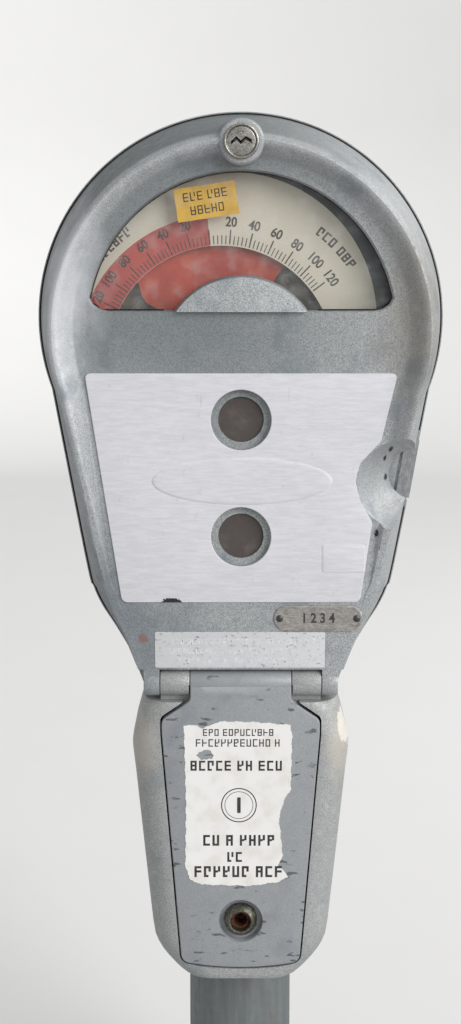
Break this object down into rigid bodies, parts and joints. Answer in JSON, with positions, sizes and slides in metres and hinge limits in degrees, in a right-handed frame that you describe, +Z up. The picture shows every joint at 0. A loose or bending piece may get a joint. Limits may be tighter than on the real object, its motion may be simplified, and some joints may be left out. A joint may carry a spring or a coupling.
{
  "type": "parking meter",
  "caption": "Mechanical coin parking meter head with a round-topped hinged cover, dial window and coin windows, on a locked coin vault and a tube post.",
  "frame": {"origin": "centre of the post's lower end", "axes": "+Z up along the post, +Y from the front cover to the back, +X to the side with the coin slot"},
  "size_m": [0.2266, 0.134, 0.6149],
  "materials": {
    "housing_paint": "worn grey paint on cast metal",
    "cover_paint": "worn grey paint on cast metal",
    "door_paint": "scuffed blue-grey paint",
    "post_steel": "dull galvanised tube",
    "plate_white": "matt white paint, brushed on",
    "zinc_steel": "zinc-plated sheet",
    "dark_steel": "oiled steel",
    "lock_steel": "tarnished nickel",
    "rusty_steel": "brown with rust",
    "clock_brass": "dull brass",
    "spring_steel": "blued steel",
    "box_paint": "blue-grey enamel",
    "seal_rubber": "black rubber",
    "lens_glass": "clear, slightly scratched",
    "coin_glass": "clouded and scratched",
    "label_white": "faded label stock",
    "label_yellow": "faded yellow label",
    "tag_metal": "stamped tag",
    "dial_cream": "printed cream dial",
    "dial_dark": "dull brown-grey",
    "flag_red": "faded red",
    "pointer_black": "black",
    "wheel_grey": "milled"
  },
  "bodies": {
    "housing": {"post_tube": "post_steel", "lower_housing": "housing_paint", "post_set_screws": "dark_steel", "hinge_pin": "dark_steel", "coin_box": "box_paint", "coin_box_lid": "zinc_steel", "rear_housing": "housing_paint", "housing_screws": "zinc_steel", "cover_seal": "seal_rubber", "coin_slot_plate": "zinc_steel", "dial_plate": "dial_cream", "dial_backing": "dial_dark", "front_movement_plate": "clock_brass", "rear_movement_plate": "clock_brass", "movement_pillars": "clock_brass", "dial_pillars": "clock_brass", "movement_standoffs": "zinc_steel", "movement_screws": "dark_steel", "coin_wheel_guard": "zinc_steel", "sight_tubes": "zinc_steel", "coin_runway": "zinc_steel", "coin_chute": "zinc_steel"},
    "cover": {"front_cover": "cover_paint", "window_lens": "lens_glass", "lens_gasket": "seal_rubber", "lens_strips": "zinc_steel", "lens_screws": "dark_steel", "hours_sticker": "label_yellow", "face_plate": "plate_white", "coin_glasses": "coin_glass", "coin_glass_rings": "zinc_steel", "number_tag": "tag_metal", "tag_rivets": "dark_steel", "instruction_label": "label_white", "head_lock_body": "lock_steel", "head_lock_nut": "dark_steel"},
    "head_lock": {"head_lock_plug": "lock_steel", "head_lock_cam": "clock_brass"},
    "door": {"vault_door": "door_paint", "vault_sticker": "label_white", "vault_lock_body": "lock_steel"},
    "vault_lock": {"vault_lock_plug": "rusty_steel", "vault_lock_cam": "clock_brass"},
    "pointer": {"time_pointer": "pointer_black"},
    "flag": {"red_flag": "flag_red"},
    "coin_wheel": {"coin_wheel": "wheel_grey"},
    "barrel": {"mainspring_barrel": "clock_brass", "mainspring": "spring_steel"},
    "winder": {"winding_arbor": "dark_steel"},
    "centre": {"centre_wheel": "clock_brass"},
    "escape": {"escape_wheel": "clock_brass"},
    "pallet": {"pallet_lever": "spring_steel"},
    "balance": {"balance_wheel": "clock_brass", "hairspring": "spring_steel"}
  },
  "joints": [
    {"name": "cover_hinge", "type": "hinge", "parent": "housing", "child": "cover", "pos_m": [0, -0.051, 0.302], "axis": [1, 0, 0], "range_deg": [0, 90]},
    {"name": "vault_door_hinge", "type": "hinge", "parent": "housing", "child": "door", "pos_m": [0, -0.051, 0.302], "axis": [1, 0, 0], "range_deg": [-85, 0]},
    {"name": "head_lock_turn", "type": "hinge", "parent": "cover", "child": "head_lock", "pos_m": [0, -0.04, 0.5959], "axis": [0, 1, 0], "range_deg": [-90, 0]},
    {"name": "vault_lock_turn", "type": "hinge", "parent": "door", "child": "vault_lock", "pos_m": [0, -0.05, 0.1646], "axis": [0, 1, 0], "range_deg": [0, 90]},
    {"name": "pointer_swing", "type": "hinge", "parent": "housing", "child": "pointer", "pos_m": [-0.011, -0.04, 0.474], "axis": [0, 1, 0], "range_deg": [0, 125]},
    {"name": "flag_swing", "type": "hinge", "parent": "housing", "child": "flag", "pos_m": [-0.011, -0.037, 0.474], "axis": [0, 1, 0], "range_deg": [-93, 0], "stiffness_Nm_per_rad": 0.006, "springref_deg": 68.75},
    {"name": "coin_wheel_turn", "type": "hinge", "parent": "housing", "child": "coin_wheel", "pos_m": [0, -0.01, 0.417], "axis": [0, 1, 0], "continuous": true},
    {"name": "barrel_turn", "type": "hinge", "parent": "housing", "child": "barrel", "pos_m": [0.028, 0.005, 0.47], "axis": [0, 1, 0], "continuous": true},
    {"name": "winding_turn", "type": "hinge", "parent": "housing", "child": "winder", "pos_m": [0.028, 0.005, 0.47], "axis": [0, 1, 0], "continuous": true},
    {"name": "centre_turn", "type": "hinge", "parent": "housing", "child": "centre", "pos_m": [0.00146, 0.005, 0.45142], "axis": [0, 1, 0], "continuous": true},
    {"name": "escape_turn", "type": "hinge", "parent": "housing", "child": "escape", "pos_m": [-0.02391, 0.005, 0.44218], "axis": [0, 1, 0], "continuous": true},
    {"name": "pallet_rock", "type": "hinge", "parent": "housing", "child": "pallet", "pos_m": [-0.02844, 0.005, 0.42528], "axis": [0, 1, 0], "range_deg": [-5, 5]},
    {"name": "balance_swing", "type": "hinge", "parent": "housing", "child": "balance", "pos_m": [-0.03284, 0.005, 0.40886], "axis": [0, 1, 0], "range_deg": [-120, 120], "stiffness_Nm_per_rad": 0.00012}
  ],
  "couplings": [
    {"joint": "centre_turn", "follows": "barrel_turn", "ratio": -5},
    {"joint": "escape_turn", "follows": "barrel_turn", "ratio": 20}
  ]
}
